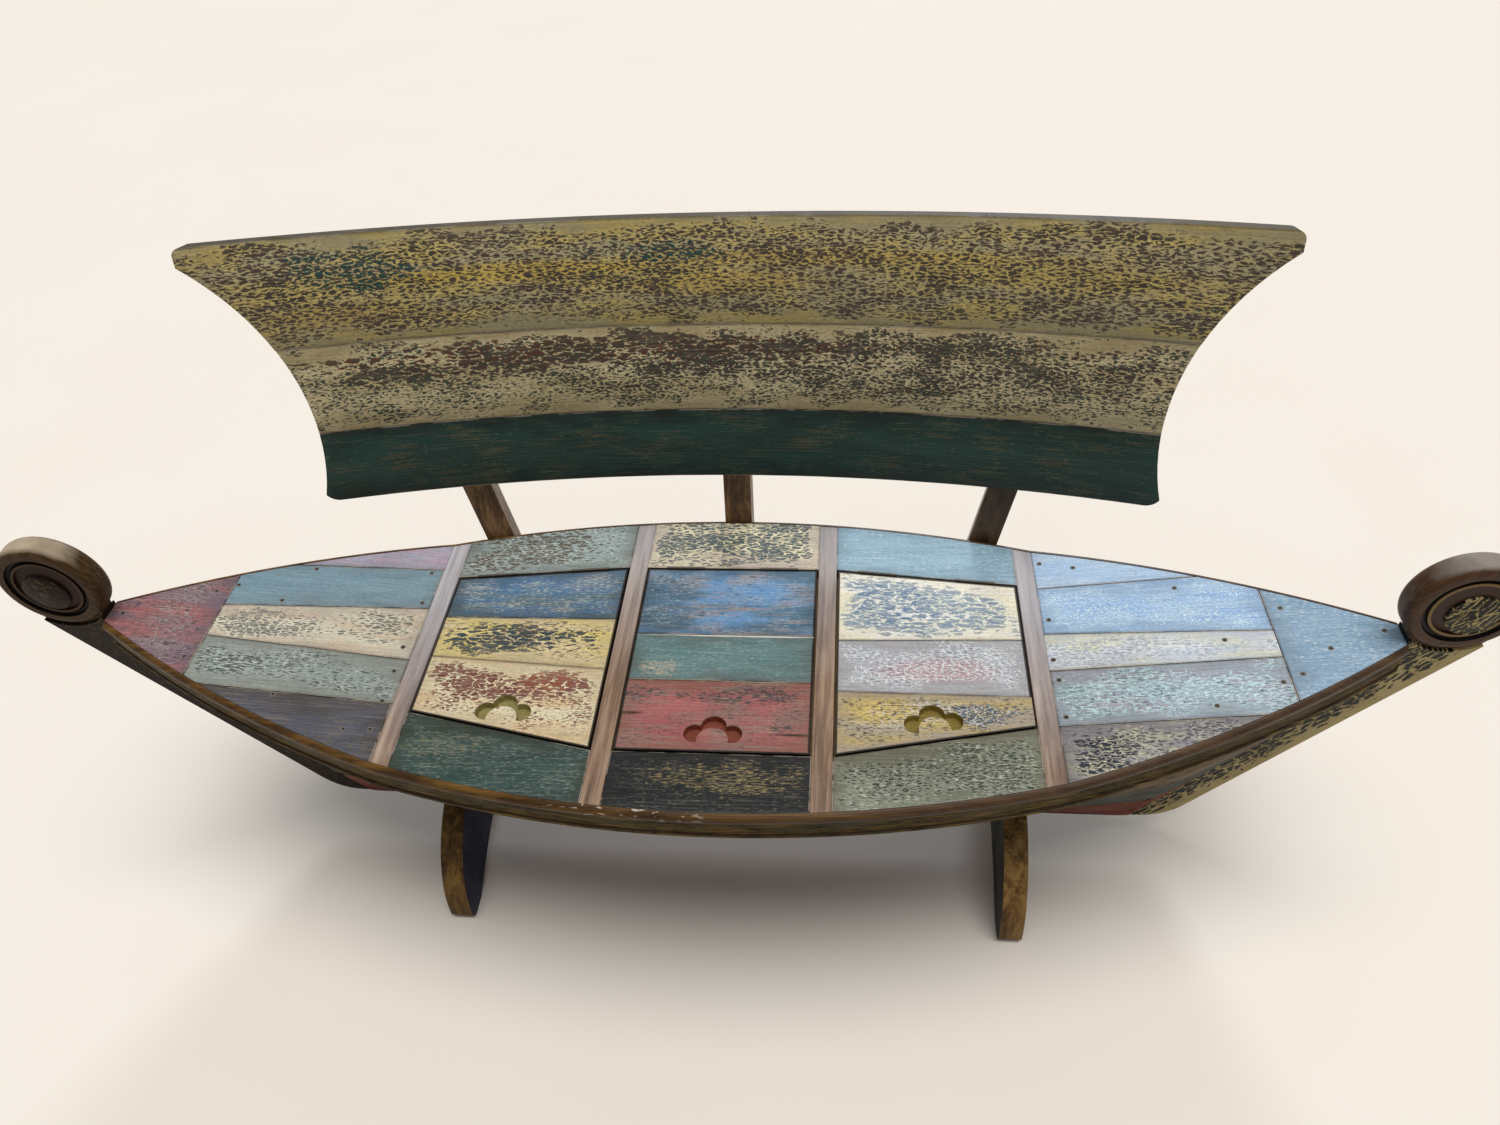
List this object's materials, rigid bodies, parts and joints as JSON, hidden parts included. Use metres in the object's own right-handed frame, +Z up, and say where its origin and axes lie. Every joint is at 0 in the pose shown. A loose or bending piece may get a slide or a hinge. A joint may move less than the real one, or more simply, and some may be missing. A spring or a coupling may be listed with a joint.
{
  "type": "bench",
  "caption": "Boat-shaped bench: painted plank deck with hinged storage lids on a planked hull, a curved reclined backrest on posts, carved scroll stems and curved legs.",
  "frame": {"origin": "on the floor under the middle of the bench's bounding box", "axes": "+X along the boat to the sitter's left, which is the picture's right; -Y is where the sitter faces; +Z is up"},
  "size_m": [2.1092, 0.711, 0.954],
  "materials": {
    "keel_wood": "dark varnished wood",
    "stem_dark": "dark flaking paint on wood",
    "stem_ochre": "ochre paint flaking over dark wood",
    "paint_red_brown": "worn paint over an older coat, satin varnish",
    "paint_dark_green": "worn paint over an older coat, satin varnish",
    "paint_ochre_tan": "worn paint over an older coat, satin varnish",
    "paint_olive": "worn paint over an older coat, satin varnish",
    "wood_brown": "worn varnished wood",
    "wood_grey_brown": "bare weathered wood, waxed",
    "wood_plain": "bare wood",
    "paint_grey_green": "worn paint over an older coat, satin varnish",
    "paint_tan_crackle": "worn paint over an older coat, satin varnish",
    "paint_pale_teal": "worn paint over an older coat, satin varnish",
    "paint_dark_teal": "worn paint over an older coat, satin varnish",
    "paint_charcoal_green": "worn paint over an older coat, satin varnish",
    "paint_sage": "worn paint over an older coat, satin varnish",
    "paint_rose": "worn paint over an older coat, satin varnish",
    "paint_teal_blue": "worn paint over an older coat, satin varnish",
    "paint_cream": "worn paint over an older coat, satin varnish",
    "paint_sage_pale": "worn paint over an older coat, satin varnish",
    "paint_slate": "worn paint over an older coat, satin varnish",
    "paint_tip_left": "worn paint over an older coat, satin varnish",
    "paint_light_blue": "worn paint over an older coat, satin varnish",
    "paint_mid_blue": "worn paint over an older coat, satin varnish",
    "paint_pale_yellow": "worn paint over an older coat, satin varnish",
    "paint_blue_green": "worn paint over an older coat, satin varnish",
    "paint_black_cream": "worn paint over an older coat, satin varnish",
    "paint_tip_right": "worn paint over an older coat, satin varnish",
    "hinge_steel": "dull dark steel",
    "paint_blue": "worn paint over an older coat, satin varnish",
    "paint_yellow": "worn paint over an older coat, satin varnish",
    "paint_cream_maroon": "worn paint over an older coat, satin varnish",
    "paint_sea_blue": "worn paint over an older coat, satin varnish",
    "paint_green": "worn paint over an older coat, satin varnish",
    "paint_red": "worn paint over an older coat, satin varnish",
    "paint_cream_slate": "worn paint over an older coat, satin varnish",
    "paint_lavender": "worn paint over an older coat, satin varnish",
    "paint_gold": "worn paint over an older coat, satin varnish",
    "post_wood": "dark varnished wood",
    "paint_bottle_green": "worn paint over an older coat, satin varnish",
    "paint_tan_cream": "worn paint over an older coat, satin varnish",
    "paint_mustard": "worn paint over an older coat, satin varnish"
  },
  "bodies": {
    "hull": {"keel": "keel_wood", "stem_left": "stem_dark", "stem_right": "stem_ochre", "bottom_plank_front": "paint_red_brown", "side_strake_front": "paint_dark_green", "upper_strake_front": "paint_ochre_tan", "sheer_strake_front": "paint_olive", "nosing_front": "wood_brown", "bottom_plank_rear": "paint_red_brown", "side_strake_rear": "paint_dark_green", "upper_strake_rear": "paint_ochre_tan", "sheer_strake_rear": "paint_olive", "nosing_rear": "wood_brown", "frames_inner": "wood_grey_brown", "frames_outer": "wood_grey_brown", "deck_ledges": "wood_plain", "rear_strip_left": "paint_grey_green", "rear_strip_middle": "paint_tan_crackle", "rear_strip_right": "paint_pale_teal", "front_strip_left": "paint_dark_teal", "front_strip_middle": "paint_charcoal_green", "front_strip_right": "paint_sage", "end_plank_left_1": "paint_rose", "end_plank_left_2": "paint_teal_blue", "end_plank_left_3": "paint_cream", "end_plank_left_4": "paint_sage_pale", "end_plank_left_5": "paint_slate", "tip_plank_left": "paint_tip_left", "end_plank_right_1": "paint_light_blue", "end_plank_right_2": "paint_mid_blue", "end_plank_right_3": "paint_pale_yellow", "end_plank_right_4": "paint_blue_green", "end_plank_right_5": "paint_black_cream", "tip_plank_right": "paint_tip_right", "hinge_leaves_fixed": "hinge_steel", "leg_front_left": "wood_brown", "leg_front_right": "wood_brown", "leg_rear_left": "wood_brown", "leg_rear_right": "wood_brown", "post_left": "post_wood", "post_middle": "post_wood", "post_right": "post_wood", "back_plank_bottom": "paint_bottle_green", "back_plank_middle": "paint_tan_cream", "back_plank_top": "paint_mustard"},
    "lid_left": {"lid_left_rear_plank": "paint_blue", "lid_left_mid_plank": "paint_yellow", "lid_left_front_plank": "paint_cream_maroon", "lid_left_cleats": "wood_plain", "lid_left_hinges": "hinge_steel"},
    "lid_middle": {"lid_middle_rear_plank": "paint_sea_blue", "lid_middle_mid_plank": "paint_green", "lid_middle_front_plank": "paint_red", "lid_middle_cleats": "wood_plain", "lid_middle_hinges": "hinge_steel"},
    "lid_right": {"lid_right_rear_plank": "paint_cream_slate", "lid_right_mid_plank": "paint_lavender", "lid_right_front_plank": "paint_gold", "lid_right_cleats": "wood_plain", "lid_right_hinges": "hinge_steel"}
  },
  "joints": [
    {"name": "lid_left_hinge", "type": "hinge", "parent": "hull", "child": "lid_left", "pos_m": [-0.301, 0.08046, 0.436], "axis": [-0.9948, -0.1017, 0], "range_deg": [0, 108]},
    {"name": "lid_middle_hinge", "type": "hinge", "parent": "hull", "child": "lid_middle", "pos_m": [0, 0.09446, 0.436], "axis": [-1, 0, 0], "range_deg": [0, 110]},
    {"name": "lid_right_hinge", "type": "hinge", "parent": "hull", "child": "lid_right", "pos_m": [0.301, 0.08046, 0.436], "axis": [-0.9948, 0.1017, 0], "range_deg": [0, 108]}
  ]
}
